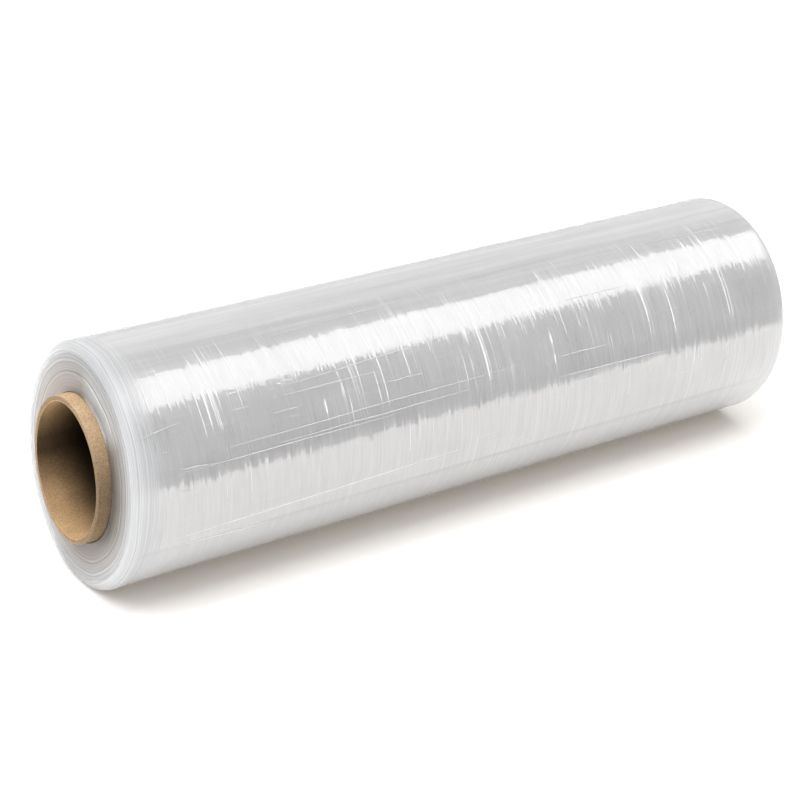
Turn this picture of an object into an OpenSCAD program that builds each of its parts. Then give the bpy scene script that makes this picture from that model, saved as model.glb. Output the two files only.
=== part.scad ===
// Stretch wrap roll: clear film wound on a spiral paper core, lying on its side.
// X runs along the roll, Z is up, and the roll rests on z = 0.
// Angles round the roll start at its underside and rise towards +Y, the back.

/* [Paper core] */
// Inside diameter of the core
core_bore_d = 76.2; // [50:0.1:80]
// Thickness of the core's wall
core_wall = 3.2; // [2:0.1:6]
// Length of core that stands out of the film at each end
core_overhang = 7.5; // [3:0.5:30]
// Chamfer on the edges of the core's ends
core_chamfer = 0.4; // [0.1:0.05:0.6]
// Layers of paper that show on the core's ends
core_plies = 3; // [1:1:4]
// Depth of the groove between two layers of paper
ply_groove = 0.2; // [0.05:0.05:0.4]

/* [Wound film] */
// Width of the film
film_w = 457; // [250:1:760]
// Thickness of the film wound on the core
film_build = 28.2; // [15:0.1:60]
// Gap between the core and the first turn
core_gap = 0.3; // [0.05:0.05:0.5]
// Length of the rounded shoulder, along the roll
shoulder_l = 5; // [2:0.5:8]
// Height of the rounded shoulder, along the radius
shoulder_h = 5; // [2:0.5:8]

/* [Turns on the end faces] */
// Radial width of one group of turns
group_w = 1.4; // [1:0.1:3]
// Most by which a group is wider or narrower than that
group_w_play = 0.6; // [0.1:0.1:0.8]
// Most that a group of turns lies back from the film's edge
group_shift = 0.9; // [0.2:0.05:1.5]
// Radial width of the outer band of turns, between its groove and the shoulder
rim_band = 1.3; // [0.5:0.1:5]
// Width of the groove inside the outer band
rim_groove_w = 0.8; // [0.5:0.1:2]
// Depth of the groove inside the outer band
rim_groove = 1.2; // [0.3:0.1:2]

/* [Bands round the roll] */
// Length of one band along the roll
band_l = 17; // [10:1:60]
// Most by which a band is longer or shorter than that
band_l_play = 6; // [1:1:7]
// Most that a band lies below the next
band_dip = 0.15; // [0.05:0.01:0.3]
// Length of the step between two bands
band_step_l = 2; // [0.5:0.5:3]

/* [Last turns] */
// Thickness of the last turns, which end together at the tail
tail_t = 0.2; // [0.1:0.05:0.4]
// Angle of the tail's edge
tail_angle = 294; // [280:1:320]
// Set-back of the last turns from the film's edge at the -X end
tail_inset_left = 6; // [5.5:0.5:20]
// Set-back of the last turns from the film's edge at the +X end
tail_inset_right = 9; // [5.5:0.5:20]

/* [Creases] */
// Diameter of the bead that a crease in the last turns makes
crease_d = 1; // [0.8:0.1:2]
// Height of a crease above the film
crease_rise = 0.2; // [0.1:0.05:0.3]

/* [Marks of handling] */
// Depth of the flat spot that the roll lies on
flat_depth = 0.7; // [0.5:0.05:1.5]
// Angle of the crushed corner at the -X end
dent_angle = 33; // [25:1:60]
// Depth of the crushed corner at the film's edge
dent_depth = 3.3; // [1:0.1:5]
// Length of the crushed corner along the roll
dent_l = 28; // [10:1:60]

/* [Hidden] */
$fn = 144;
crease_fn = 24;

core_r = core_bore_d / 2 + core_wall;
core_l = film_w + 2 * core_overhang;
ply_w = core_wall / core_plies;
rim_chamfer = min(core_chamfer, ply_w / 3);
groove_half = min(ply_groove, ply_w / 3);

film_bore_r = core_r + core_gap;
roll_r = core_r + film_build;
axis_z = roll_r - flat_depth;
inner_turns_r = roll_r - tail_t;
shoulder_x = film_w / 2 - shoulder_l;
shoulder_foot_r = inner_turns_r - shoulder_h;
shoulder_points = 6;
// Radial width of the step between two groups of turns
group_step_w = 0.3;
// Seeds of the chance sizes on each end face and along the roll
left_seed = 31;
right_seed = 21;
band_seed = 11;
// Angle of the join that closes a full ring
seam_angle = 180;
// Depth to which the last turns and the creases are sunk in the turns below
bond = 1;
// Spare size of a cutting block past the roll
clear = 10;

// Creases as [angle at the -X end, angle at the +X end, start, end],
// with start and end as shares of the film's width from the -X end
creases = [
    [203, 202, 0.16, 0.42],
    [228, 225, 0.18, 0.50],
    [253, 252, 0.12, 0.64],
    [256, 259, 0.30, 0.93],
    [257, 256, 0.05, 0.88],
    [262, 261, 0.36, 0.80],
    [287, 289, 0.08, 0.55]
];

function sum_of_first(v, n) = n == 0 ? 0 : v[n - 1] + sum_of_first(v, n - 1);

function reversed(v) = [for (i = [len(v) - 1 : -1 : 0]) v[i]];

// Borders of n groups, each about w wide, that fill the stretch from a to b
function uneven_borders(a, b, n, w, play, seed) =
    let (v = rands(w - play, w + play, n, seed))
    [for (i = [0 : n]) a + (b - a) * sum_of_first(v, i) / sum_of_first(v, n)];

// Points [place, level] of a line that is level over each group and slopes between them
function stepped_line(borders, levels, slope) =
    let (last = len(levels) - 1)
    [for (i = [0 : last]) each [
        [borders[i] + (i == 0 ? 0 : slope / 2), levels[i]],
        [borders[i + 1] - (i == last ? 0 : slope / 2), levels[i]]
    ]];

// Outline [radius, place] of the +X end face, from the core out to the shoulder
function end_face(seed) =
    let (
        rim_r = shoulder_foot_r - rim_band - rim_groove_w,
        groups = floor((rim_r - film_bore_r) / group_w),
        borders = uneven_borders(film_bore_r, rim_r, groups, group_w, group_w_play, seed),
        levels = rands(-group_shift, 0, groups, seed + 1)
    )
    [for (p = stepped_line(
            concat(borders, [rim_r + rim_groove_w, shoulder_foot_r]),
            concat(levels, [-rim_groove, 0]),
            group_step_w))
        [p[0], film_w / 2 + p[1]]];

// Outline [radius, place] of the rounded shoulder, from the face to the outside
function shoulder() =
    [for (k = [1 : shoulder_points]) let (a = 90 * k / shoulder_points)
        [shoulder_foot_r + shoulder_h * sin(a), shoulder_x + shoulder_l * cos(a)]];

// Outline [radius, place] of the bands round the roll, from a to b along X
function bands(a, b, radius) =
    let (
        groups = floor(2 * shoulder_x / band_l),
        borders = uneven_borders(-shoulder_x, shoulder_x, groups, band_l, band_l_play,
            band_seed),
        dips = rands(0, band_dip, groups, band_seed + 1),
        line = stepped_line(borders, dips, band_step_l)
    )
    [for (p = line) if (p[0] > a && p[0] < b) [radius - p[1], p[0]]];

// Part of a ring about the roll's axis, from an outline [radius, place along X]
module wound(from = seam_angle, sweep = 360)
    translate([0, 0, axis_z]) rotate([0, 90, 0])
        rotate_extrude(angle = sweep, start = from) children();

// The end of the core as an outline, from its bore to its outside
function core_end() = concat(
    [[core_r - core_wall, core_l / 2 - rim_chamfer],
     [core_r - core_wall + rim_chamfer, core_l / 2]],
    [for (i = [1 : 1 : core_plies - 1], side = [-1 : 1])
        [core_r - core_wall + i * ply_w + side * groove_half,
         core_l / 2 - (side == 0 ? groove_half : 0)]],
    [[core_r - rim_chamfer, core_l / 2],
     [core_r, core_l / 2 - rim_chamfer]]
);

function other_end(v) = [for (p = reversed(v)) [p[0], -p[1]]];

// Every turn of film up to the last ones
module inner_turns()
    wound() polygon(concat(
        end_face(right_seed),
        shoulder(),
        reversed(bands(-film_w, film_w, inner_turns_r)),
        other_end(concat(end_face(left_seed), shoulder()))
    ));

// The turns that end at the tail. They start on the underside, in the flat spot.
module last_turns() {
    left = tail_inset_left - film_w / 2;
    right = film_w / 2 - tail_inset_right;
    line = bands(left, right, roll_r);
    wound(0, tail_angle) polygon(concat(
        [[inner_turns_r - bond, left], [line[0][0], left]],
        line,
        [[line[len(line) - 1][0], right], [inner_turns_r - bond, right]]
    ));
}

// A point at an angle round the roll, at a radius and a place along X
function on_roll(angle, radius, x) =
    [x, radius * sin(angle), axis_z - radius * cos(angle)];

// A straight crease from one place on the film to another
module crease(c) {
    bead_r = roll_r + crease_rise - crease_d / 2;
    a = on_roll(c[0], bead_r, film_w * (c[2] - 0.5));
    b = on_roll(c[1], bead_r, film_w * (c[3] - 0.5));
    run = b - a;
    turn = atan2(norm([run[1], run[2]]), run[0]);
    translate(a) rotate([atan2(run[2], run[1]), 0, 0])
        rotate([0, 0, turn]) rotate([0, 90, 0])
            cylinder(h = norm(run), d = crease_d, $fn = crease_fn);
}

// The block that flattens the underside where the roll lies
module flat_spot()
    translate([-film_w / 2 - clear, -roll_r, -clear])
        cube([film_w + 2 * clear, 2 * roll_r, clear]);

// The block that crushes the lower back corner of the -X end
module end_dent()
    translate([-film_w / 2, 0, axis_z]) rotate([dent_angle, 0, 0])
        translate([0, 0, dent_depth - roll_r])
            rotate([0, atan(dent_depth / dent_l), 0])
                translate([-clear, -roll_r / 2, -clear])
                    cube([dent_l + 2 * clear, roll_r, clear]);

module core()
    color("#b98d60") wound() polygon(concat(core_end(), other_end(core_end())));

module film_roll()
    color("#dfe3e6") difference() {
        union() {
            inner_turns();
            last_turns();
            for (c = creases) crease(c);
        }
        flat_spot();
        end_dent();
    }

core();
film_roll();
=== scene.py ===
"""Stretch wrap roll: clear film wound on a paper core, in a plain pale studio."""
import math

import bpy
import numpy as np
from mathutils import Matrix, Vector


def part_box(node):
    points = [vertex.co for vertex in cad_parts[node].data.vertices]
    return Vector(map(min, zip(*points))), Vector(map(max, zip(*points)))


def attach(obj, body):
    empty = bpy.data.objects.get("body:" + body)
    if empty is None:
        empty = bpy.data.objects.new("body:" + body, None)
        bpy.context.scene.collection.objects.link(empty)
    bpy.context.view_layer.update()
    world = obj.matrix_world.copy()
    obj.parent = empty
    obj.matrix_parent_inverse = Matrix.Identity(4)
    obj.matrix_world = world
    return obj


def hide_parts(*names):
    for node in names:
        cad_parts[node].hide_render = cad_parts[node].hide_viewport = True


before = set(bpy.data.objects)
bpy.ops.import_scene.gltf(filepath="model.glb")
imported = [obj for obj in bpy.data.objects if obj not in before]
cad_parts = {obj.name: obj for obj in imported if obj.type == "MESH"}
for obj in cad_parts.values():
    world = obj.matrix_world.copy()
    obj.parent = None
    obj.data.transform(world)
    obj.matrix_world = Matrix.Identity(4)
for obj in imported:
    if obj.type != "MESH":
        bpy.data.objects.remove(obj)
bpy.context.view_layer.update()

bl_info = {
    "name": "Stretch wrap roll",
    "version": (1, 0, 0),
    "blender": (4, 5, 0),
    "location": "3D View > Sidebar > Wrap Roll",
    "description": "Models a roll of stretch film on its paper core, with a small studio",
    "category": "Add Mesh",
}

MM = 0.001
TURN = 2 * math.pi

# Sizes of details and counts of steps, which have no setting
CORE_GAP = 0.3 * MM
CORE_WALL = 3.2 * MM
RIM_GROOVE = 0.8 * MM
RING_CROWN = 0.08 * MM
RING_LIP = 0.2 * MM
SHOULDER_STEPS = 9
CORE_STEPS = 144
CORE_SIDE_STEPS = 40
STREAK_STEPS = 9

# How near a streak comes to the film's edge, how streaks of a group scatter and each wanders
STREAK_MARGIN = 8 * MM
STREAK_SCATTER = 4 * MM
STREAK_WANDER = 0.4 * MM

# The middle of a bead lies this share of its thickness over the film, less the drop
BEAD_RISE = 0.25
BEAD_DROP = 0.1 * MM

# Where the bands die away before the shoulder, and how far the tail and the end faces wander
SIDE_FADE = 4 * MM
TAIL_RAG = 0.5 * MM
END_WAVE = 0.3 * MM

# Only points whose angle from the underside has a cosine above this can reach the floor
FLOOR_COSINE = 0.2

# Seeds of the random draws
RIGHT_END_SEED = 21
LEFT_END_SEED = 31
FILM_SEED = 5
BEAD_SEED = 17

# Long creases in the last turns, as ends along X in mm and angles there in degrees
CREASES = (
    (-180, 22, 251.0, 248.6),
    (-145, -13, 255.0, 253.7),
    (-209, -62, 256.7, 256.0),
    (-122, -6, 204.0, 201.0),
    (-137, -25, 231.0, 226.5),
    (-139, -65, 234.6, 234.6),
    (-74, -39, 240.7, 240.7),
    (-141, -121, 241.3, 241.3),
    (-220, -193, 238.0, 234.7),
    (-201, -179, 255.0, 256.0),
    (-206, -22, 289.0, 283.5),
    (-208, -144, 294.0, 295.4),
    (51, 89, 249.7, 249.7),
    (49, 131, 259.3, 260.5),
    (132, 217, 201.0, 203.8),
    (63, 114, 223.3, 223.3),
)

core_low, core_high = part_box("core")
film_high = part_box("film_roll")[1]
CORE_R = (core_high.y - core_low.y) / 2
CORE_HALF = core_high.x
FILM_R = film_high.y
FILM_HALF = film_high.x
AXIS_Z = (core_high.z + core_low.z) / 2

# Streaks round the roll keep off its underside, and lean as the end beside them does
STREAK_ANGLES = (math.radians(36), math.radians(324))
STREAK_LEANS = ((-1, 0.09), (1, 0.054))

# A vector times this has nothing left along the roll
ACROSS = (0, 1, 1)

# Where the strands and the lit lips of the turns face
STRAND_WAY = (0, -0.57, 0.82)
FAN_WAY = (-0.42, -0.55, 0.72)

# Where the painted highlight on the lips and the stack's painted shade lie, seen from the core's
# middle
GLINT_PLACE = (0, -0.5, 0.87)
PAINTED_SHADE_WAY = (0, -0.75, -0.66)

# Share of light that the creases mirror at most
CREASE_MIRROR = 0.45

# Greys as place and level: painted light and shade from the underside to the top, across the core's
# wall from the bore outwards, and round the room from the front over the top to the back
SIDE_LIGHT = (
    (0.0, 1.2), (0.14, 1.18), (0.29, 1.05), (0.4, 0.97), (0.52, 0.93), (0.66, 1.0), (0.97, 0.7))
END_LIGHT = ((0.0, 0.95), (0.35, 0.98), (0.55, 1.05), (0.75, 0.95), (0.97, 0.64))
BORE_LIGHT = (
    (0.0, 1.1), (0.18, 1.05), (0.3, 0.68), (0.45, 0.22), (0.55, 0.26), (0.68, 0.75),
    (0.88, 1.6), (1.0, 1.6))
FRONT_LIGHT = ((0.0, 1.0), (0.17, 0.84), (0.5, 0.62), (0.85, 1.0), (1.0, 1.0))
RIM_TONES = (
    (0.0, 1.0), (0.02, 1.25), (0.24, 1.2), (0.34, 0.6), (0.44, 1.05), (0.86, 1.0), (0.97, 1.0))
ROOM_TONES = (
    (0.0, 0.16), (0.1, 0.16), (0.25, 0.35), (0.5, 0.34), (0.66, 0.42), (0.76, 0.26),
    (0.86, 0.54), (1.0, 0.8))

# Edges of the floor, whose front lies just outside the picture
FLOOR_X = (-0.6, 1.6)
FLOOR_Y = (-0.41, 3.6)

SOFTBOX_SIZE = (2.8, 0.73)
SOFTBOX_PLACE = (0.1, -0.315, 1.25)

CAMERA_AZIMUTH = math.radians(-33.20)
CAMERA_ELEVATION = math.radians(23.97)
CAMERA_DISTANCE = 1.2183
CAMERA_TARGET = Vector((-0.01812, 0, 0.05776))
CAMERA_LENS = 91.2
CAMERA_SENSOR = 36


def paint(hex_colour):
    """An sRGB hex colour as linear red, green, blue and alpha."""
    parts = [int(hex_colour[i:i + 2], 16) / 255 for i in (1, 3, 5)]
    linear = [c / 12.92 if c <= 0.04045 else ((c + 0.055) / 1.055) ** 2.4 for c in parts]
    return (*linear, 1.0)


# Colour of gathered film, and of the painted highlight on the lips of the turns
GATHERED_FILM_AND_GLINT = paint("#f1f2f4")


def add(tree, kind, inputs=None, **settings):
    """Adds a node. Each input takes a value, an output socket or another node, whose first
    output in use is then linked."""
    made = tree.nodes.new(kind)
    for name, value in settings.items():
        setattr(made, name, value)
    for name, value in (inputs or {}).items():
        if isinstance(value, bpy.types.Node):
            value = next(socket for socket in value.outputs if socket.enabled)
        if isinstance(value, bpy.types.NodeSocket):
            tree.links.new(value, made.inputs[name])
        else:
            made.inputs[name].default_value = value
    return made


def grey_stops(ramp, levels):
    """Sets a colour ramp's greys from pairs of place and level."""
    stops = ramp.color_ramp.elements
    for place, level in levels[1:-1]:
        stops.new(place)
    for stop, (place, level) in zip(stops, levels):
        stop.position = place
        stop.color = (level, level, level, 1)


def new_material(name):
    """An empty material, its node tree and its output node."""
    material = bpy.data.materials.new(name)
    material.use_nodes = True
    tree = material.node_tree
    tree.nodes.clear()
    return material, tree, add(tree, "ShaderNodeOutputMaterial")


class FilmSettings(bpy.types.PropertyGroup):
    """Sizes and colours of the wound film."""
    shoulder: bpy.props.FloatProperty(
        name="Shoulder", description="Size of the rounded shoulder at each end",
        default=5 * MM, unit="LENGTH")
    ring_groups: bpy.props.IntProperty(
        name="Ring groups", description="Groups of turns on each end face", default=18)
    ring_depth: bpy.props.FloatProperty(
        name="Ring depth", description="How far groups of turns stand out or lie back",
        default=0.4 * MM, unit="LENGTH")
    rim_band: bpy.props.FloatProperty(
        name="Rim band", description="Radial width of the outer band of turns",
        default=1.3 * MM, unit="LENGTH")
    left_lean: bpy.props.FloatProperty(
        name="Lean of the -X end", description="How far the end's top leans along X for its height",
        default=0.091)
    right_lean: bpy.props.FloatProperty(
        name="Lean of the +X end", description="How far the end's top leans along X for its height",
        default=0.054)
    tail_angle: bpy.props.FloatProperty(
        name="Tail angle", description="Angle of the tail's edge from the underside",
        default=math.radians(294), subtype="ANGLE")
    tail_step: bpy.props.FloatProperty(
        name="Tail step", description="Thickness of the turns that end at the tail",
        default=0.08 * MM, unit="LENGTH")
    tail_inset: bpy.props.FloatProperty(
        name="Tail inset", description="Set-back of the last turns from the film's edge",
        default=6 * MM, unit="LENGTH")
    band_rise: bpy.props.FloatProperty(
        name="Band rise", description="Height of the bands round the roll",
        default=0.15 * MM, unit="LENGTH")
    slack: bpy.props.FloatProperty(
        name="Slack", description="Height of the broad unevenness of the last turns",
        default=0.09 * MM, unit="LENGTH")
    dent_depth: bpy.props.FloatProperty(
        name="Dent depth", description="Depth of the crushed corner at the -X end",
        default=3.3 * MM, unit="LENGTH")
    dent_length: bpy.props.FloatProperty(
        name="Dent length", description="Length of the crushed corner along the roll",
        default=28 * MM, unit="LENGTH")
    dent_angle: bpy.props.FloatProperty(
        name="Dent angle", description="Angle of the crushed corner from the underside",
        default=math.radians(33), subtype="ANGLE")
    turn_steps: bpy.props.IntProperty(
        name="Steps round", description="Faces round the roll", default=240)
    side_step: bpy.props.FloatProperty(
        name="Step along", description="Length of the faces along the roll",
        default=2 * MM, unit="LENGTH")
    colour: bpy.props.FloatVectorProperty(
        name="Film", description="Colour of the film on the outside of the roll",
        default=paint("#e2e1e1")[:3], subtype="COLOR", size=3)
    edge_colour: bpy.props.FloatVectorProperty(
        name="Film edges", description="Colour of the stacked film edges at the outside",
        default=paint("#e3e4e6")[:3], subtype="COLOR", size=3)
    inner_colour: bpy.props.FloatVectorProperty(
        name="Inner film edges", description="Colour of the stacked film edges by the core",
        default=paint("#bfb4aa")[:3], subtype="COLOR", size=3)
    mirror: bpy.props.FloatProperty(
        name="Mirror", description="Share of light that the stacked turns mirror",
        default=0.24, min=0, max=1)
    roughness: bpy.props.FloatProperty(
        name="Roughness", description="Roughness of the film's outside",
        default=0.08, min=0, max=1)
    strip_lean: bpy.props.FloatProperty(
        name="Strip lean", description="How much narrow strips of film lean off the round",
        default=0.14, min=0, max=1)
    strand_turn: bpy.props.FloatProperty(
        name="Strand turn", description="How far thin gathered strands turn to the light overhead",
        default=0.87, min=0, max=1)
    fade_length: bpy.props.FloatProperty(
        name="Fade length", description="How far from its end the film starts to turn milky",
        default=20 * MM, unit="LENGTH")
    glow_depth: bpy.props.FloatProperty(
        name="Glow depth", description="How far light spreads inside the stacked film",
        default=50 * MM, unit="LENGTH")


class CreaseSettings(bpy.types.PropertyGroup):
    """Sizes and counts of the creases and streaks in the last turns."""
    crease_radius: bpy.props.FloatProperty(
        name="Crease", description="Radius of the bead that a long crease makes",
        default=0.3 * MM, unit="LENGTH")
    streak_radius: bpy.props.FloatProperty(
        name="Streak", description="Radius of the bead that a streak round the roll makes",
        default=0.2 * MM, unit="LENGTH")
    streak_groups: bpy.props.IntProperty(
        name="Streak groups", description="Groups of streaks round the roll", default=110)
    end_streaks: bpy.props.IntProperty(
        name="End streaks", description="Streaks round the roll beside each end", default=30)
    colour: bpy.props.FloatVectorProperty(
        name="Crease colour", description="Colour of the gathered film",
        default=paint("#f4f4f6")[:3], subtype="COLOR", size=3)


class CoreSettings(bpy.types.PropertyGroup):
    """Sizes and colours of the paper core."""
    plies: bpy.props.IntProperty(
        name="Plies", description="Layers of paper in the core's wall", default=3)
    chamfer: bpy.props.FloatProperty(
        name="Edge", description="Rounding of the core's edges", default=0.4 * MM, unit="LENGTH")
    ply_groove: bpy.props.FloatProperty(
        name="Ply groove", description="Depth of the groove between two plies",
        default=0.3 * MM, unit="LENGTH")
    left_lean: bpy.props.FloatProperty(
        name="Lean of the -X end", description="How far the end's top leans along X for its height",
        default=0.076)
    right_lean: bpy.props.FloatProperty(
        name="Lean of the +X end", description="How far the end's top leans along X for its height",
        default=0.054)
    colour: bpy.props.FloatVectorProperty(
        name="Kraft board", description="Colour of the core's paper",
        default=paint("#ceb392")[:3], subtype="COLOR", size=3)
    bore_colour: bpy.props.FloatVectorProperty(
        name="Bore", description="Colour of the paper inside the core",
        default=paint("#cda87c")[:3], subtype="COLOR", size=3)
    fibre_colour: bpy.props.FloatVectorProperty(
        name="Fibres", description="Colour of the darker fibres in the paper",
        default=paint("#9f8463")[:3], subtype="COLOR", size=3)
    shade_depth: bpy.props.FloatProperty(
        name="Shade depth", description="How far down the bore it gets darker",
        default=30 * MM, unit="LENGTH")


class StudioSettings(bpy.types.PropertyGroup):
    """Light, floor and camera."""
    softbox_glow: bpy.props.FloatProperty(
        name="Softbox", description="Brightness of the overhead softbox",
        default=2.05, min=0)
    sky: bpy.props.FloatProperty(
        name="Sky overhead", description="Brightness of the surroundings overhead",
        default=3.0, min=0)
    floor_lift: bpy.props.FloatProperty(
        name="Floor lift", description="Glow that keeps the floor's shadows open",
        default=0.2, min=0)
    floor_bounce: bpy.props.FloatProperty(
        name="Floor bounce", description="Share of light that the floor throws back up",
        default=0.75, min=0, max=1)
    sky_tilt: bpy.props.FloatVectorProperty(
        name="Sky tilt", description="How much brighter the sky gets towards +X and +Y",
        default=(-0.9, 0.9), size=2)
    sky_low: bpy.props.FloatProperty(
        name="Sky at the horizon", description="Brightness of the surroundings low down",
        default=0.05, min=0)


def fresh_selection():
    """Leaves nothing selected, so that the next operator acts on its own object alone."""
    bpy.ops.object.select_all(action="DESELECT")


def uneven_borders(rng, low, high, count):
    """Borders of groups of uneven width that fill the stretch from low to high."""
    widths = rng.uniform(0.5, 1.5, count)
    return low + (high - low) * np.cumsum(widths) / widths.sum()


def end_face(settings, seed):
    """One end of the film as [radius, place along X], from the bore to the shoulder's top."""
    rng = np.random.default_rng(seed)
    bore = CORE_R + CORE_GAP
    foot = FILM_R - settings.tail_step - settings.shoulder
    rim = foot - settings.rim_band
    borders = uneven_borders(rng, bore, rim - RIM_GROOVE, settings.ring_groups)
    levels = rng.uniform(0, settings.ring_depth, settings.ring_groups)
    points = [(bore, FILM_HALF - 1.5 * settings.ring_depth)]
    for start, end, level in zip((bore, *borders[:-1]), borders, levels):
        lip = min(RING_LIP, (end - start) / 4)
        place = FILM_HALF - level
        points += [(start + lip, place),
                   ((start + end) / 2, place + RING_CROWN),
                   (end - lip, place)]
    points += [(rim - RIM_GROOVE, FILM_HALF - 1.6 * settings.ring_depth),
               (rim - RIM_GROOVE / 2, FILM_HALF - 1.8 * settings.ring_depth),
               (rim, FILM_HALF - RIM_GROOVE / 3), (rim + RIM_GROOVE / 2, FILM_HALF)]
    for angle in np.linspace(0, math.pi / 2, SHOULDER_STEPS):
        points.append((foot + settings.shoulder * math.sin(angle),
                       FILM_HALF - settings.shoulder * (1 - math.cos(angle))))
    return points


def film_outline(settings):
    """The film's closed section as [radius, place along X], starting at the +X end's bore."""
    right = end_face(settings, RIGHT_END_SEED)
    left = [(r, -x) for r, x in reversed(end_face(settings, LEFT_END_SEED))]
    edge = FILM_HALF - settings.shoulder
    outside = FILM_R - settings.tail_step
    steps = int(2 * edge / settings.side_step)
    side = [(outside, x) for x in np.linspace(edge, -edge, steps)[1:-1]]
    return np.array(right + side + left)


def lathe(name, outline, steps):
    """A closed ring about the roll's axis, spun from a closed outline of [radius, place]."""
    fresh_selection()
    bpy.ops.mesh.primitive_circle_add(vertices=len(outline), fill_type="NOTHING")
    piece = bpy.context.object
    piece.name = name
    piece.data.name = name
    places = np.array([(x, 0, AXIS_Z - r) for r, x in outline])
    piece.location = (0, 0, 0)
    piece.data.vertices.foreach_set("co", places.ravel())
    piece.data.update()
    bpy.ops.object.mode_set(mode="EDIT")
    bpy.ops.mesh.select_all(action="SELECT")
    bpy.ops.mesh.spin(steps=steps, angle=TURN, center=(0, 0, AXIS_Z), axis=(1, 0, 0))
    bpy.ops.mesh.select_all(action="SELECT")
    bpy.ops.mesh.remove_doubles(threshold=1e-6)
    bpy.ops.mesh.normals_make_consistent(inside=False)
    bpy.ops.object.mode_set(mode="OBJECT")
    bpy.ops.object.shade_smooth()
    return piece


def read_round(piece):
    """A piece's points as place along X, angle from the underside towards the back, and radius."""
    flat = np.empty(len(piece.data.vertices) * 3)
    piece.data.vertices.foreach_get("co", flat)
    x, y, z = flat.reshape(-1, 3).T
    return x.copy(), np.arctan2(y, AXIS_Z - z) % TURN, np.hypot(y, z - AXIS_Z)


def write_round(piece, x, angle, radius):
    """Puts a piece's points back from place, angle and radius."""
    places = np.column_stack((x, radius * np.sin(angle), AXIS_Z - radius * np.cos(angle)))
    piece.data.vertices.foreach_set("co", places.ravel())
    piece.data.update()


def lean_ends(x, height, half, left, right):
    """Leans both ends off square, less and less along the roll."""
    share = np.where(x < 0, left, right)
    fade = np.clip((np.abs(x) / half - 0.45) / 0.55, 0, 1) ** 2
    x += share * fade * (height - AXIS_Z)


def waves(rng, along, around, count):
    """A smooth uneven surface height from -1 to 1, as a function of place and angle.
    Waves are up to along per metre and around per turn."""
    pitch = rng.uniform(0.15, 1, count) * along
    turns = rng.integers(0, around + 1, count)
    phase = rng.uniform(0, TURN, count)
    strength = rng.uniform(0.4, 1, count)

    def height(x, angle):
        total = np.zeros_like(x)
        for p, t, f, s in zip(pitch, turns, phase, strength):
            total += s * np.sin(TURN * p * x + t * angle + f)
        return total / strength.sum()

    return height


def shape_film(film, settings):
    """Gives the spun film its bands, tail, wavy ends, flat spot and crushed corner."""
    rng = np.random.default_rng(FILM_SEED)
    x, angle, radius = read_round(film)
    step = TURN / settings.turn_steps
    tail = settings.tail_angle
    # The row of points after the tail moves up to it, so that the tail's edge is a sharp step
    near_tail = (angle > tail + step / 2) & (angle < tail + 1.5 * step)
    angle[near_tail] = tail + 0.12 * step
    foot = FILM_R - settings.tail_step - settings.shoulder
    outside = np.clip((radius - foot) / settings.shoulder, 0, 1)
    on_side = np.clip((FILM_HALF - settings.shoulder - np.abs(x)) / SIDE_FADE, 0, 1)

    left = -FILM_HALF + settings.tail_inset
    right = FILM_HALF - 1.5 * settings.tail_inset
    ragged = TAIL_RAG * waves(rng, 2, 9, 12)(x, angle)
    covered = (angle < tail + 0.05 * step) & (x > left + ragged) & (x < right + ragged)
    radius += np.where(covered & (outside > 0.99), settings.tail_step, 0)

    bands = waves(rng, 60, 0, 40)(x, angle)
    slack = waves(rng, 40, 9, 60)(x, angle)
    radius += outside * on_side * (settings.band_rise * bands + settings.slack * (slack - 0.5))
    end = (1 - outside) * (radius > CORE_R + 1 * MM)
    x += np.sign(x) * end * END_WAVE * waves(rng, 3, 7, 25)(radius * 400 * MM, angle)

    height = AXIS_Z - radius * np.cos(angle)
    lean_ends(x, height, FILM_HALF, settings.left_lean, settings.right_lean)

    depth = settings.dent_depth * np.clip(1 - (x + FILM_HALF) / settings.dent_length, 0, 1)
    limit = (FILM_R - depth) / np.cos(np.clip(angle - settings.dent_angle, -1, 1))
    crushed = (x < -FILM_HALF + settings.dent_length) & (radius > limit)
    radius = np.where(crushed, limit, radius)
    facing_floor = np.cos(angle) > FLOOR_COSINE
    floor_limit = AXIS_Z / np.maximum(np.cos(angle), FLOOR_COSINE)
    radius = np.where(facing_floor, np.minimum(radius, floor_limit), radius)
    write_round(film, x, angle, radius)


def streak_arc(begin, sweep):
    """A streak's share, angle and taper at each of its points."""
    share = np.linspace(0, 1, STREAK_STEPS)
    angle = np.clip(begin + sweep * share, *STREAK_ANGLES)
    return share, angle, np.sin(math.pi * np.clip(share, 0.05, 0.95))


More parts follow.
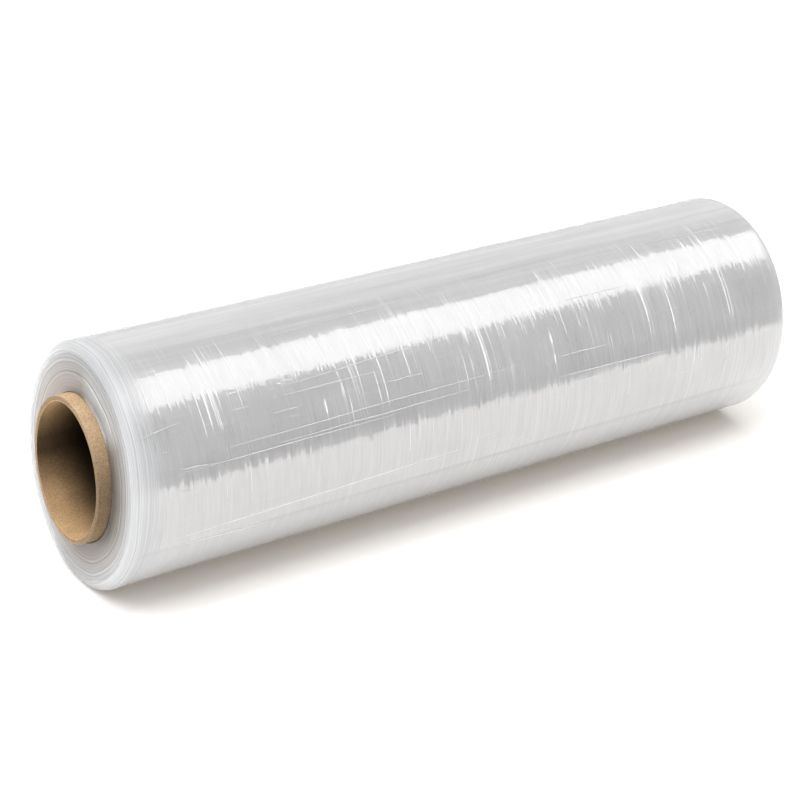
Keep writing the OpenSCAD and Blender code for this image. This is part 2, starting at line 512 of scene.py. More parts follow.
def bead_paths(settings):
    """Paths of every crease and streak: place along X, angle and thickness at each point."""
    rng = np.random.default_rng(BEAD_SEED)
    paths = []
    for start, end, first, last in CREASES:
        share = np.linspace(0, 1, max(12, int((end - start) / 4)))
        wander = waves(rng, 3, 0, 9)(share, 0 * share)
        x = (start + (end - start) * share) * MM
        wander = 0.4 * wander * np.sin(math.pi * share)
        angle = np.radians(first + (last - first) * share + wander)
        taper = np.sin(math.pi * np.clip(share, 0.04, 0.96)) ** 0.6
        paths.append((x, angle, settings.crease_radius * taper))
    for _ in range(settings.streak_groups):
        centre = FILM_HALF * (2 * rng.uniform() ** 0.6 - 1) * 0.96
        back, front = rng.uniform(60, 110), rng.uniform(214, 258)
        middle = math.radians(rng.choice((back, front), p=(0.4, 0.6)))
        for _ in range(rng.integers(1, 6)):
            sweep = math.radians(rng.uniform(8, 48))
            begin = middle + math.radians(rng.uniform(-15, 15)) - sweep / 2
            share, angle, taper = streak_arc(begin, sweep)
            x = centre + rng.normal(0, STREAK_SCATTER)
            x = x + STREAK_WANDER * waves(rng, 2, 0, 5)(share, 0 * share)
            x = np.clip(x, -FILM_HALF + STREAK_MARGIN, FILM_HALF - STREAK_MARGIN)
            paths.append((x, angle, settings.streak_radius * rng.uniform(0.5, 1) * taper))
    for end, lean in STREAK_LEANS:
        for _ in range(settings.end_streaks):
            sweep = math.radians(rng.uniform(10, 45))
            begin = math.radians(rng.choice((95, 235)) + rng.uniform(-15, 15)) - sweep / 2
            angle, taper = streak_arc(begin, sweep)[1:]
            x = end * (FILM_HALF - rng.uniform(7, 24) * MM) - lean * FILM_R * np.cos(angle)
            paths.append((x, angle, settings.streak_radius * rng.uniform(0.5, 1) * taper))
    return paths


def model_beads(name, paths):
    """Tapered beads, half sunk in the film, along the paths."""
    fresh_selection()
    bpy.ops.curve.primitive_nurbs_path_add(location=(0, 0, 0))
    piece = bpy.context.object
    piece.name = name
    curve = piece.data
    curve.name = name
    curve.splines.clear()
    for x, angle, thickness in paths:
        radius = FILM_R + BEAD_RISE * thickness - BEAD_DROP
        spline = curve.splines.new("POLY")
        spline.points.add(len(x) - 1)
        height = AXIS_Z - radius * np.cos(angle)
        places = np.column_stack((x, radius * np.sin(angle), height, 0 * x))
        spline.points.foreach_set("co", places.ravel())
        spline.points.foreach_set("radius", thickness / MM)
    curve.bevel_depth = MM
    curve.bevel_resolution = 0
    curve.use_fill_caps = True
    bpy.ops.object.convert(target="MESH")
    bpy.ops.object.mode_set(mode="EDIT")
    bpy.ops.mesh.select_all(action="SELECT")
    bpy.ops.mesh.remove_doubles(threshold=1e-7)
    bpy.ops.mesh.normals_make_consistent(inside=False)
    bpy.ops.object.mode_set(mode="OBJECT")
    bpy.ops.object.shade_smooth()
    return piece


def stretched_noise(tree, place, along, around, detail):
    """Noise whose patches are about this long along the roll and round it."""
    stretched = add(tree, "ShaderNodeMapping", {
        "Vector": place, "Scale": (1 / along, 1 / around, 1 / around)})
    return add(tree, "ShaderNodeTexNoise", {"Vector": stretched, "Scale": 1.0, "Detail": detail})


def hair_lines(tree, noise, mask, width):
    """Thin lines where the noise passes its middle value, kept where the mask is high."""
    off = add(tree, "ShaderNodeMath", {0: noise, 1: 0.5}, operation="SUBTRACT")
    away = add(tree, "ShaderNodeMath", {0: off}, operation="ABSOLUTE")
    line = add(tree, "ShaderNodeMapRange", {
        "Value": away, "From Max": width, "To Min": 1.0, "To Max": 0.0},
        interpolation_type="SMOOTHSTEP")
    keep = add(tree, "ShaderNodeMapRange", {"Value": mask, "From Min": 0.45, "From Max": 0.65})
    return add(tree, "ShaderNodeMath", {0: line, 1: keep}, operation="MULTIPLY")


def film_strands(tree, centred, along, height, settings):
    """Thin gathered strands round the roll, most of them near the +X end, and how far each
    point of the film's outside turns towards the light overhead."""
    strands = stretched_noise(tree, centred, 0.8 * MM, 110 * MM, 1.0)
    strands = add(tree, "ShaderNodeMath", {0: along, 1: 0.25, 2: strands}, operation="MULTIPLY_ADD")
    strands = add(tree, "ShaderNodeMapRange", {
        "Value": strands, "From Min": 0.555, "From Max": 0.67}, interpolation_type="SMOOTHSTEP")
    patches = stretched_noise(tree, centred, 20 * MM, 25 * MM, 1.0)
    patches = add(tree, "ShaderNodeMapRange", {"Value": patches, "From Min": 0.38, "From Max": 0.5})
    strands = add(tree, "ShaderNodeMath", {0: strands, 1: patches}, operation="MULTIPLY")
    below_top = add(tree, "ShaderNodeMapRange", {
        "Value": height, "From Min": 0.94 * FILM_R, "From Max": 0.995 * FILM_R,
        "To Min": 1.0, "To Max": 0.0})
    strands = add(tree, "ShaderNodeMath", {0: strands, 1: below_top}, operation="MULTIPLY")
    high = add(tree, "ShaderNodeMapRange", {
        "Value": height, "From Min": 0.05 * FILM_R, "From Max": 0.35 * FILM_R})
    turning = add(tree, "ShaderNodeMath", {0: strands, 1: high}, operation="MULTIPLY")
    turn = add(tree, "ShaderNodeMapRange", {
        "Value": stretched_noise(tree, centred, 1.0 * MM, 60 * MM, 0.0),
        "From Min": 0.3, "From Max": 0.7, "To Max": settings.strand_turn})
    turn = add(tree, "ShaderNodeMath", {0: turn, 1: turning}, operation="MULTIPLY")

    # Fine hair lines along the roll where the film was nipped, most of them near the -X end
    nipped = add(tree, "ShaderNodeMapRange", {
        "Value": along, "From Min": -FILM_HALF + 150 * MM, "From Max": -FILM_HALF + 30 * MM,
        "To Min": 0.5, "To Max": 0.62})
    nipped = add(tree, "ShaderNodeMath", {0: patches, 1: nipped}, operation="MULTIPLY")
    nips = stretched_noise(tree, centred, 110 * MM, 4 * MM, 1.5)
    nips = hair_lines(tree, nips, nipped, 0.012)
    nips = add(tree, "ShaderNodeMath", {0: nips, 1: high}, operation="MULTIPLY")
    nips = add(tree, "ShaderNodeMath", {0: nips, 1: 0.8}, operation="MULTIPLY")
    turn = add(tree, "ShaderNodeMath", {0: turn, 1: nips}, operation="MAXIMUM")
    return strands, turn


def film_side(tree, centred, round_way, settings):
    """The normal and the colour of the film's outside."""
    along = add(tree, "ShaderNodeSeparateXYZ", {0: centred}).outputs["X"]
    height = add(tree, "ShaderNodeSeparateXYZ", {0: centred}).outputs["Z"]
    # Each narrow strip has its own slope round the roll, which frays every reflection's edge
    strips = stretched_noise(tree, centred, 1.2 * MM, 24 * MM, 2.0)
    panels = stretched_noise(tree, centred, 16 * MM, 60 * MM, 1.0)
    both = add(tree, "ShaderNodeMath", {0: panels, 1: 0.15, 2: strips}, operation="MULTIPLY_ADD")
    slope = add(tree, "ShaderNodeMapRange", {
        "Value": both, "From Min": 0.075, "From Max": 1.075,
        "To Min": -settings.strip_lean, "To Max": settings.strip_lean})
    flank = add(tree, "ShaderNodeMapRange", {
        "Value": height, "From Min": 0.8 * FILM_R, "From Max": 0.92 * FILM_R,
        "To Min": 1.0, "To Max": 0.04})
    slope = add(tree, "ShaderNodeMath", {0: slope, 1: flank}, operation="MULTIPLY")
    calm = add(tree, "ShaderNodeMapRange", {
        "Value": height, "From Min": 0.15 * FILM_R, "From Max": 0.5 * FILM_R, "To Min": 0.7})
    slope = add(tree, "ShaderNodeMath", {0: slope, 1: calm}, operation="MULTIPLY")
    lean = add(tree, "ShaderNodeVectorMath", {0: round_way, "Scale": slope}, operation="SCALE")
    face = add(tree, "ShaderNodeNewGeometry").outputs["Normal"]
    leaning = add(tree, "ShaderNodeVectorMath", {0: face, 1: lean}, operation="ADD")
    strands, turn = film_strands(tree, centred, along, height, settings)
    leaning = add(tree, "ShaderNodeMix", {0: turn, 4: leaning, 5: STRAND_WAY}, data_type="VECTOR")
    leaning = add(tree, "ShaderNodeVectorMath", {0: leaning}, operation="NORMALIZE")

    # Hair lines where the film has gathered: many round the roll, fewer along it
    mask = stretched_noise(tree, centred, 14 * MM, 30 * MM, 2.0)
    hairs = hair_lines(tree, stretched_noise(tree, centred, 4 * MM, 150 * MM, 2.0), mask, 0.016)
    hairs = add(tree, "ShaderNodeMath", {0: hairs, 1: flank}, operation="MULTIPLY")
    bump = add(tree, "ShaderNodeBump", {"Height": hairs, "Distance": 0.05 * MM, "Normal": leaning})
    long_mask = stretched_noise(tree, centred, 70 * MM, 9 * MM, 1.0)
    long_hairs = stretched_noise(tree, centred, 170 * MM, 7 * MM, 1.0)
    long_hairs = hair_lines(tree, long_hairs, long_mask, 0.01)
    bump = add(tree, "ShaderNodeBump", {
        "Height": long_hairs, "Distance": 0.02 * MM, "Normal": bump})

    # Strips and long streaks differ a little in tone, and gathered film is lighter
    strip_tone = add(tree, "ShaderNodeMapRange", {
        "Value": strips, "From Min": 0.3, "From Max": 0.7, "To Min": 0.95, "To Max": 1.05})
    long_tone = add(tree, "ShaderNodeMapRange", {
        "Value": stretched_noise(tree, centred, 150 * MM, 6 * MM, 3.0),
        "From Min": 0.3, "From Max": 0.7, "To Min": 0.9, "To Max": 1.08})
    tone = add(tree, "ShaderNodeMix", {0: flank, 2: long_tone, 3: strip_tone}, data_type="FLOAT")
    colour = add(tree, "ShaderNodeVectorMath", {
        0: settings.colour, "Scale": tone}, operation="SCALE")
    gathered = add(tree, "ShaderNodeMath", {0: hairs, 1: long_hairs}, operation="MAXIMUM")
    gathered = add(tree, "ShaderNodeMath", {0: gathered, 1: strands}, operation="MAXIMUM")
    lighter = add(tree, "ShaderNodeMath", {0: gathered, 1: 0.45}, operation="MULTIPLY")
    colour = add(tree, "ShaderNodeMix", {0: lighter, 6: colour, 7: GATHERED_FILM_AND_GLINT}, data_type="RGBA")
    # Painted light and shade: the film's colour is drawn darker at the top and lighter lower down
    level = add(tree, "ShaderNodeMapRange", {
        "Value": height, "From Min": -FILM_R, "From Max": FILM_R})
    light = add(tree, "ShaderNodeValToRGB", {0: level})
    grey_stops(light, SIDE_LIGHT)
    colour = add(tree, "ShaderNodeVectorMath", {0: colour, 1: light}, operation="MULTIPLY")
    return bump, colour


def film_end(tree, centred, radius, outward, out, settings):
    """The normal, the colour and the mirror share of the stacked film edges at the ends."""
    # Rings, none quite round, up the end face and in over the shoulder. A wide one stands for
    # dozens of turns, which are too thin to show one by one
    wobble = stretched_noise(tree, centred, 30 * MM, 30 * MM, 1.0)
    outline_place = add(tree, "ShaderNodeMath", {0: radius, 1: out}, operation="SUBTRACT")
    ring_place = add(tree, "ShaderNodeMath", {
        0: wobble, 1: 3 * MM, 2: outline_place}, operation="MULTIPLY_ADD")
    rings = add(tree, "ShaderNodeTexNoise", {
        "W": ring_place, "Scale": 1 / (1.2 * MM), "Detail": 4.0, "Roughness": 0.7},
        noise_dimensions="1D")
    bump = add(tree, "ShaderNodeBump", {"Height": rings, "Distance": 0.4 * MM})
    # Lips of the turns beside the core tilt towards the softbox in a fan, where their colour also
    # has a painted highlight
    glint_fan = add(tree, "ShaderNodeVectorMath", {0: outward, 1: GLINT_PLACE}, operation="DOT_PRODUCT")
    glint_fan = add(tree, "ShaderNodeMapRange", {
        "Value": glint_fan, "From Min": 0.86, "From Max": 0.97}, interpolation_type="SMOOTHSTEP")
    lips = add(tree, "ShaderNodeMapRange", {"Value": rings, "From Min": 0.36, "From Max": 0.64})
    glint_fan = add(tree, "ShaderNodeMath", {0: glint_fan, 1: lips}, operation="MULTIPLY")
    inner = add(tree, "ShaderNodeMapRange", {
        "Value": radius, "From Min": CORE_R + 11 * MM, "From Max": CORE_R + 21 * MM,
        "To Min": 1.0, "To Max": 0.0})
    glint_fan = add(tree, "ShaderNodeMath", {0: glint_fan, 1: inner}, operation="MULTIPLY")
    normal = add(tree, "ShaderNodeMix", {0: glint_fan, 4: bump, 5: FAN_WAY}, data_type="VECTOR")
    mirror = add(tree, "ShaderNodeMath", {0: glint_fan, 1: 0.4, 2: 0.08}, operation="MULTIPLY_ADD")

    # The stack is darker and warmer towards the core, whose colour shows through it
    span = add(tree, "ShaderNodeMapRange", {
        "Value": radius, "From Min": CORE_R, "From Max": FILM_R - settings.shoulder})
    stack = add(tree, "ShaderNodeValToRGB", {0: span})
    stops = stack.color_ramp.elements
    stops[0].color = (*settings.inner_colour, 1)
    stops[1].color = (*settings.edge_colour, 1)
    stops.new(0.6).color = paint("#c3beb9")
    stops.new(0.92).color = paint("#d0d1d3")
    tone = add(tree, "ShaderNodeMapRange", {
        "Value": rings, "From Min": 0.32, "From Max": 0.68, "To Min": 0.7, "To Max": 1.17})
    # Painted shade: the stack is drawn darker low down and in front, close to the core
    away = add(tree, "ShaderNodeVectorMath", {0: outward, 1: PAINTED_SHADE_WAY}, operation="DOT_PRODUCT")
    close = add(tree, "ShaderNodeMapRange", {
        "Value": span, "From Max": 0.9, "To Min": 0.46, "To Max": 0.0})
    shade = add(tree, "ShaderNodeMapRange", {
        "Value": away, "From Min": 0.0, "From Max": 0.7, "To Max": close})
    tone = add(tree, "ShaderNodeMath", {0: tone, 1: shade}, operation="SUBTRACT")
    colour = add(tree, "ShaderNodeVectorMath", {0: stack, "Scale": tone}, operation="SCALE")
    # Painted light and shade: the end face is drawn darker towards its top and a little lighter
    # halfway up
    height = add(tree, "ShaderNodeSeparateXYZ", {0: centred}).outputs["Z"]
    level = add(tree, "ShaderNodeMapRange", {
        "Value": height, "From Min": -FILM_R, "From Max": FILM_R})
    light = add(tree, "ShaderNodeValToRGB", {0: level})
    grey_stops(light, END_LIGHT)
    colour = add(tree, "ShaderNodeVectorMath", {0: colour, 1: light}, operation="MULTIPLY")
    colour = add(tree, "ShaderNodeMix", {0: glint_fan, 6: colour, 7: GATHERED_FILM_AND_GLINT}, data_type="RGBA")
    return normal, colour, mirror


def film_material(settings):
    """Cast stretch film in hundreds of turns: glossy and faintly grey as one sheet, and milky
    where its edges stack at the ends."""
    material, tree, output = new_material("stretch_film")
    place = add(tree, "ShaderNodeTexCoord").outputs["Object"]
    centred = add(tree, "ShaderNodeMapping", {"Vector": place, "Location": (0, 0, -AXIS_Z)})
    along = add(tree, "ShaderNodeSeparateXYZ", {0: centred}).outputs["X"]
    height = add(tree, "ShaderNodeSeparateXYZ", {0: centred}).outputs["Z"]
    across = add(tree, "ShaderNodeVectorMath", {0: centred, 1: ACROSS}, operation="MULTIPLY")
    radius = add(tree, "ShaderNodeVectorMath", {0: across}, operation="LENGTH")
    outward = add(tree, "ShaderNodeVectorMath", {0: across}, operation="NORMALIZE")
    round_way = add(tree, "ShaderNodeVectorMath", {
        0: (1, 0, 0), 1: outward}, operation="CROSS_PRODUCT")

    # The milky ends begin on the side, in a ragged border, and lean as the ends do
    lean = add(tree, "ShaderNodeMapRange", {
        "Value": along, "From Min": -FILM_HALF, "From Max": FILM_HALF,
        "To Min": settings.left_lean, "To Max": settings.right_lean})
    leant = add(tree, "ShaderNodeMath", {0: height, 1: lean}, operation="MULTIPLY")
    square = add(tree, "ShaderNodeMath", {0: along, 1: leant}, operation="SUBTRACT")
    square = add(tree, "ShaderNodeMath", {0: square, 1: 6 * MM}, operation="SUBTRACT")
    out = add(tree, "ShaderNodeMath", {0: square}, operation="ABSOLUTE")
    ragged = stretched_noise(tree, centred, 1.4 * MM, 40 * MM, 2.0)
    border = add(tree, "ShaderNodeMath", {0: ragged, 1: 14 * MM, 2: out}, operation="MULTIPLY_ADD")
    edges = add(tree, "ShaderNodeMapRange", {
        "Value": border, "From Min": FILM_HALF + 11 * MM - settings.fade_length,
        "From Max": FILM_HALF + 7 * MM}, interpolation_type="SMOOTHSTEP")

    side_normal, side_colour = film_side(tree, centred, round_way, settings)
    end_normal, end_colour, end_mirror = film_end(tree, centred, radius, outward, out, settings)
    normal = add(tree, "ShaderNodeMix", {
        0: edges, 4: side_normal, 5: end_normal}, data_type="VECTOR")
    colour = add(tree, "ShaderNodeMix", {0: edges, 6: side_colour, 7: end_colour}, data_type="RGBA")
    metallic = add(tree, "ShaderNodeMapRange", {
        "Value": edges, "To Min": settings.mirror, "To Max": end_mirror})
    roughness = add(tree, "ShaderNodeMapRange", {
        "Value": edges, "To Min": settings.roughness, "To Max": 0.25})
    shader = add(tree, "ShaderNodeBsdfPrincipled", {
        "Base Color": colour,
        "Metallic": metallic,
        "Roughness": roughness,
        "Normal": normal,
        "Subsurface Weight": 1.0,
        "Subsurface Radius": (1.0, 1.0, 1.0),
        "Subsurface Scale": settings.glow_depth,
    })
    tree.links.new(shader.outputs[0], output.inputs["Surface"])
    return material


def crease_material(settings):
    """Gathered film: whiter than one smooth sheet, and glossy, with a painted glow low down."""
    material, tree, output = new_material("film_crease")
    place = add(tree, "ShaderNodeTexCoord").outputs["Object"]
    # Grain about 2.5 mm across
    grain = add(tree, "ShaderNodeTexNoise", {"Vector": place, "Scale": 400.0, "Detail": 2.0})
    tone = add(tree, "ShaderNodeMapRange", {
        "Value": grain, "From Min": 0.3, "From Max": 0.7, "To Min": 0.85, "To Max": 1.0})
    colour = add(tree, "ShaderNodeVectorMath", {
        0: settings.colour, "Scale": tone}, operation="SCALE")
    height = add(tree, "ShaderNodeSeparateXYZ", {0: place}).outputs["Z"]
    metallic = add(tree, "ShaderNodeMapRange", {
        "Value": height, "From Min": AXIS_Z - 0.1 * FILM_R, "From Max": AXIS_Z + 0.2 * FILM_R,
        "To Max": CREASE_MIRROR})
    # Painted light: low down the creases glow a little, which draws them lighter there
    glow = add(tree, "ShaderNodeMapRange", {
        "Value": metallic, "From Max": CREASE_MIRROR, "To Min": 0.35, "To Max": 0.0})
    shader = add(tree, "ShaderNodeBsdfPrincipled", {
        "Base Color": colour,
        "Metallic": metallic,
        "Roughness": 0.22,
        "Emission Color": (1.0, 1.0, 1.0, 1.0),
        "Emission Strength": glow,
    })
    tree.links.new(shader.outputs[0], output.inputs["Surface"])
    return material


def board_material(settings):
    """Kraft core board: matt recycled paper with short darker fibres and fine specks."""
    material, tree, output = new_material("kraft_board")
    place = add(tree, "ShaderNodeTexCoord").outputs["Object"]
    # Fibres just under 1 mm, coarser than the real ones so that they show, and 11 mm blotches
    fibres = add(tree, "ShaderNodeTexNoise", {
        "Vector": place, "Scale": 1100.0, "Detail": 4.0, "Roughness": 0.75})
    blotches = add(tree, "ShaderNodeTexNoise", {"Vector": place, "Scale": 90.0, "Detail": 3.0})
    dark = add(tree, "ShaderNodeMapRange", {"Value": fibres, "From Min": 0.35, "From Max": 0.68})
    tone = add(tree, "ShaderNodeMapRange", {
        "Value": blotches, "From Min": 0.3, "From Max": 0.7, "To Min": 0.92, "To Max": 1.08})
    middle = add(tree, "ShaderNodeVectorMath", {0: place, 1: (0, 0, AXIS_Z)}, operation="SUBTRACT")
    across = add(tree, "ShaderNodeVectorMath", {0: middle, 1: ACROSS}, operation="MULTIPLY")
    radius = add(tree, "ShaderNodeVectorMath", {0: across}, operation="LENGTH")
    height = add(tree, "ShaderNodeSeparateXYZ", {0: middle}).outputs["Z"]
    height = add(tree, "ShaderNodeMapRange", {
        "Value": height, "From Min": -CORE_R, "From Max": CORE_R})

    # On the rim the liner is light, with a dark glue line between it and the middle ply
    wall = add(tree, "ShaderNodeMapRange", {
        "Value": radius, "From Min": CORE_R - CORE_WALL, "From Max": CORE_R})
    rim = add(tree, "ShaderNodeValToRGB", {0: wall})
    grey_stops(rim, RIM_TONES)
    # The core's outside is darker in front, on the side away from the light
    front = add(tree, "ShaderNodeSeparateXYZ", {0: place}).outputs["Y"]
    front = add(tree, "ShaderNodeMapRange", {"Value": front, "From Max": -0.5 * CORE_R})
    flank = add(tree, "ShaderNodeValToRGB", {0: height})
    grey_stops(flank, FRONT_LIGHT)
    flank = add(tree, "ShaderNodeMix", {0: front, 2: 1.0, 3: flank}, data_type="FLOAT")
    outside = add(tree, "ShaderNodeMath", {0: rim, 1: flank}, operation="MULTIPLY")

    # Light dies away down the bore, which is drawn darkest there and halfway up
    along = add(tree, "ShaderNodeSeparateXYZ", {0: place}).outputs["X"]
    out = add(tree, "ShaderNodeMath", {0: along}, operation="ABSOLUTE")
    deep = add(tree, "ShaderNodeMapRange", {
        "Value": out, "From Min": CORE_HALF - settings.shade_depth,
        "From Max": CORE_HALF - 4 * MM, "To Min": 0.08, "To Max": 1.0},
        interpolation_type="SMOOTHSTEP")
    low = add(tree, "ShaderNodeValToRGB", {0: height})
    grey_stops(low, BORE_LIGHT)
    deep = add(tree, "ShaderNodeMath", {0: deep, 1: low}, operation="MULTIPLY")

    inside = add(tree, "ShaderNodeMath", {
        0: radius, 1: CORE_R - 0.9 * CORE_WALL}, operation="LESS_THAN")
    shade = add(tree, "ShaderNodeMix", {0: inside, 2: outside, 3: deep}, data_type="FLOAT")
    tone = add(tree, "ShaderNodeMath", {0: tone, 1: shade}, operation="MULTIPLY")
    paper = add(tree, "ShaderNodeMix", {
        0: inside, 6: (*settings.colour, 1), 7: (*settings.bore_colour, 1)}, data_type="RGBA")
    board = add(tree, "ShaderNodeMix", {
        0: dark, 6: (*settings.fibre_colour, 1), 7: paper}, data_type="RGBA")
    colour = add(tree, "ShaderNodeVectorMath", {0: board, "Scale": tone}, operation="SCALE")
    bump = add(tree, "ShaderNodeBump", {"Height": fibres, "Distance": 0.15 * MM})
    shader = add(tree, "ShaderNodeBsdfPrincipled", {
        "Base Color": colour,
        "Roughness": 0.85,
        "Specular IOR Level": 0.15,
        "Normal": bump,
    })
    tree.links.new(shader.outputs[0], output.inputs["Surface"])
    return material


class WRAP_OT_film(bpy.types.Operator):
    """Model the wound film"""
    bl_idname = "wrap_roll.film"
    bl_label = "Wound Film"

    def execute(self, context):
        settings = context.scene.wrap_film
        film = lathe("film", film_outline(settings), settings.turn_steps)
        shape_film(film, settings)
        film.data.materials.append(film_material(settings))
        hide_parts("film_roll")
        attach(film, "root")
        return {"FINISHED"}


class WRAP_OT_creases(bpy.types.Operator):
    """Model the creases and streaks of the last turns"""
    bl_idname = "wrap_roll.creases"
    bl_label = "Creases"

    def execute(self, context):
        settings = context.scene.wrap_creases
        beads = model_beads("film_creases", bead_paths(settings))
        beads.data.materials.append(crease_material(settings))
        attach(beads, "root")
        return {"FINISHED"}


def core_outline(settings):
    """The core's closed section as [radius, place along X], with a groove between its plies."""
    inner = CORE_R - CORE_WALL
    ply = CORE_WALL / settings.plies
    edge = settings.chamfer
    rim = [(inner, CORE_HALF - edge), (inner + 0.3 * edge, CORE_HALF - 0.3 * edge),
           (inner + edge, CORE_HALF)]
    for border in inner + ply * np.arange(1, settings.plies):
        rim += [(border - 0.6 * settings.ply_groove, CORE_HALF),
                (border, CORE_HALF - settings.ply_groove),
                (border + 0.6 * settings.ply_groove, CORE_HALF)]
    rim += [(CORE_R - edge, CORE_HALF), (CORE_R - 0.3 * edge, CORE_HALF - 0.3 * edge),
            (CORE_R, CORE_HALF - edge)]
    side = np.linspace(CORE_HALF, -CORE_HALF, CORE_SIDE_STEPS)[1:-1]
    outside = [(CORE_R, x) for x in side]
    bore = [(inner, -x) for x in side]
    return np.array(rim + outside + [(r, -x) for r, x in reversed(rim)] + bore)


class WRAP_OT_core(bpy.types.Operator):
    """Model the paper core"""
    bl_idname = "wrap_roll.core"
    bl_label = "Paper Core"

    def execute(self, context):
        settings = context.scene.wrap_core
        core = lathe("core_tube", core_outline(settings), CORE_STEPS)
        x, angle, radius = read_round(core)
        height = AXIS_Z - radius * np.cos(angle)
        lean_ends(x, height, CORE_HALF, settings.left_lean, settings.right_lean)
        write_round(core, x, angle, radius)
        core.data.materials.append(board_material(settings))
        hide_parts("core")
        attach(core, "root")
        return {"FINISHED"}


def lay_floor():
    """White background paper on the ground."""
    fresh_selection()
    left, right = FLOOR_X
    front, back = FLOOR_Y
    bpy.ops.mesh.primitive_plane_add(
        size=1, location=((left + right) / 2, (front + back) / 2, 0))
    floor = bpy.context.object
    floor.name = "floor"
    floor.scale = (right - left, back - front, 1)
    bpy.ops.object.transform_apply(location=True, rotation=False, scale=True)
    return floor


def paper_material(settings):
    """Matt white background paper, lifted a little so that its shadows stay open."""
    material, tree, output = new_material("floor_paper")
    path = add(tree, "ShaderNodeLightPath")
    seen = add(tree, "ShaderNodeMath", {
        0: path.outputs["Is Camera Ray"], 1: path.outputs["Is Glossy Ray"]}, operation="MAXIMUM")
    level = add(tree, "ShaderNodeMath", {0: seen, 1: settings.floor_lift}, operation="MULTIPLY")
    white = add(tree, "ShaderNodeMix", {
        0: seen, 2: settings.floor_bounce, 3: 0.82}, data_type="FLOAT")
    diffuse = add(tree, "ShaderNodeBsdfDiffuse", {"Color": white})
    lift = add(tree, "ShaderNodeEmission", {"Color": (1.0, 0.88, 0.74, 1), "Strength": level})
    both = add(tree, "ShaderNodeAddShader", {0: diffuse, 1: lift})
    tree.links.new(both.outputs[0], output.inputs["Surface"])
    return material


def studio_world(settings):
    """White surroundings, with a dark room in front for the film to mirror."""
    world = bpy.data.worlds.new("studio")
    world.use_nodes = True
    tree = world.node_tree
    tree.nodes.clear()
    output = add(tree, "ShaderNodeOutputWorld")
    way = add(tree, "ShaderNodeTexCoord").outputs["Generated"]
    height = add(tree, "ShaderNodeSeparateXYZ", {0: way}).outputs["Z"]

    # The sky that lights the scene is brightest overhead, and on the side that it tilts to
    up = add(tree, "ShaderNodeMath", {0: height, 1: 0.0}, operation="MAXIMUM")
    up = add(tree, "ShaderNodeMath", {0: up, 1: 2.0}, operation="POWER")
    tilt = add(tree, "ShaderNodeVectorMath", {
        0: way, 1: (*settings.sky_tilt, 0)}, operation="DOT_PRODUCT")
    tilt = add(tree, "ShaderNodeMath", {0: tilt, 1: 1.0}, operation="ADD")
    tilt = add(tree, "ShaderNodeMath", {0: tilt, 1: 0.0}, operation="MAXIMUM")
    up = add(tree, "ShaderNodeMath", {0: up, 1: tilt}, operation="MULTIPLY")
    sky = add(tree, "ShaderNodeMath", {
        0: up, 1: settings.sky, 2: settings.sky_low}, operation="MULTIPLY_ADD")

    # The room, seen along the roll: its front is at 0, straight up at a half and its back at 1
    across = add(tree, "ShaderNodeVectorMath", {0: way, 1: ACROSS}, operation="MULTIPLY")
    across = add(tree, "ShaderNodeVectorMath", {0: across}, operation="NORMALIZE")
    depth = add(tree, "ShaderNodeSeparateXYZ", {0: across}).outputs["Y"]
    share = add(tree, "ShaderNodeMapRange", {"Value": depth, "From Min": -1.0})
    room = add(tree, "ShaderNodeValToRGB", {0: share})
    grey_stops(room, ROOM_TONES)
    # Grey floor between the white paper and the dark front of the room
    low = add(tree, "ShaderNodeMapRange", {
        "Value": height, "From Min": -0.12, "From Max": -0.05, "To Min": 0.34, "To Max": 0.0})
    room = add(tree, "ShaderNodeMath", {0: room, 1: low}, operation="ADD")

    path = add(tree, "ShaderNodeLightPath")
    light = add(tree, "ShaderNodeMix", {
        0: path.outputs["Is Glossy Ray"], 2: sky, 3: room}, data_type="FLOAT")
    level = add(tree, "ShaderNodeMix", {
        0: path.outputs["Is Camera Ray"], 2: light, 3: 1.0}, data_type="FLOAT")
    glow = add(tree, "ShaderNodeBackground", {"Strength": level})
    tree.links.new(glow.outputs[0], output.inputs["Surface"])
    return world


def add_softbox(settings):
    """The softbox overhead, the only lamp."""
    length, width = SOFTBOX_SIZE
    bpy.ops.object.light_add(type="AREA", location=SOFTBOX_PLACE)
    box = bpy.context.object
    box.name = "softbox"
    box.data.shape = "RECTANGLE"
    box.data.size = length
    box.data.size_y = width
    box.data.energy = settings.softbox_glow * math.pi * length * width


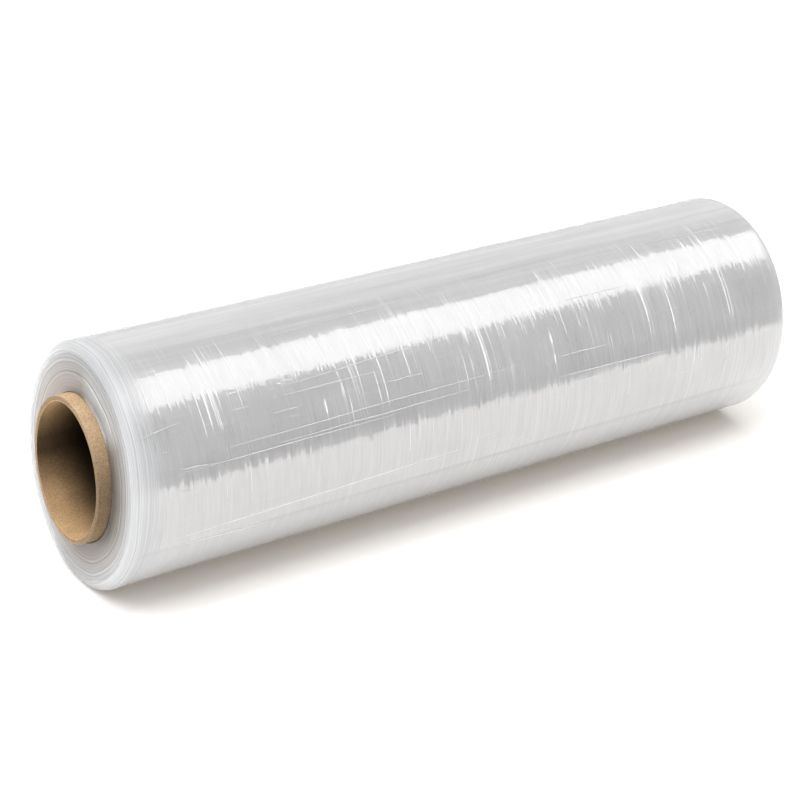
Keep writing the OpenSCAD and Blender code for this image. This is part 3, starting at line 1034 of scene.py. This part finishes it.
def add_camera():
    """The photo's camera, in front of the roll and to its left."""
    level = math.cos(CAMERA_ELEVATION)
    back = Vector((math.sin(CAMERA_AZIMUTH) * level,
                   -math.cos(CAMERA_AZIMUTH) * level,
                   math.sin(CAMERA_ELEVATION)))
    bpy.ops.object.camera_add(location=CAMERA_TARGET + back * CAMERA_DISTANCE,
                              rotation=back.to_track_quat("Z", "Y").to_euler())
    camera = bpy.context.object
    camera.data.lens = CAMERA_LENS
    camera.data.sensor_width = CAMERA_SENSOR
    bpy.context.scene.camera = camera


class WRAP_OT_studio(bpy.types.Operator):
    """Add the floor, the lights and the camera"""
    bl_idname = "wrap_roll.studio"
    bl_label = "Studio"

    def execute(self, context):
        settings = context.scene.wrap_studio
        floor = lay_floor()
        floor.data.materials.append(paper_material(settings))
        context.scene.world = studio_world(settings)
        context.scene.view_settings.view_transform = "Standard"
        add_softbox(settings)
        add_camera()
        return {"FINISHED"}


class WRAP_PT_panel(bpy.types.Panel):
    """Buttons for each piece"""
    bl_idname = "WRAP_PT_panel"
    bl_label = "Wrap Roll"
    bl_space_type = "VIEW_3D"
    bl_region_type = "UI"
    bl_category = "Wrap Roll"

    def draw(self, context):
        for group in SETTINGS:
            settings = getattr(context.scene, group)
            for name in settings.__annotations__:
                self.layout.prop(settings, name)
        for operator in OPERATORS:
            self.layout.operator(operator.bl_idname)


SETTINGS = {
    "wrap_film": FilmSettings,
    "wrap_creases": CreaseSettings,
    "wrap_core": CoreSettings,
    "wrap_studio": StudioSettings,
}
OPERATORS = (WRAP_OT_film, WRAP_OT_creases, WRAP_OT_core, WRAP_OT_studio)


def register():
    for kind in (*SETTINGS.values(), *OPERATORS, WRAP_PT_panel):
        bpy.utils.register_class(kind)
    for name, kind in SETTINGS.items():
        setattr(bpy.types.Scene, name, bpy.props.PointerProperty(type=kind))


def unregister():
    for name in SETTINGS:
        delattr(bpy.types.Scene, name)
    for kind in (WRAP_PT_panel, *reversed(OPERATORS), *SETTINGS.values()):
        bpy.utils.unregister_class(kind)


def main():
    register()
    bpy.ops.wrap_roll.film()
    bpy.ops.wrap_roll.creases()
    bpy.ops.wrap_roll.core()
    bpy.ops.wrap_roll.studio()


if __name__ == "__main__":
    main()
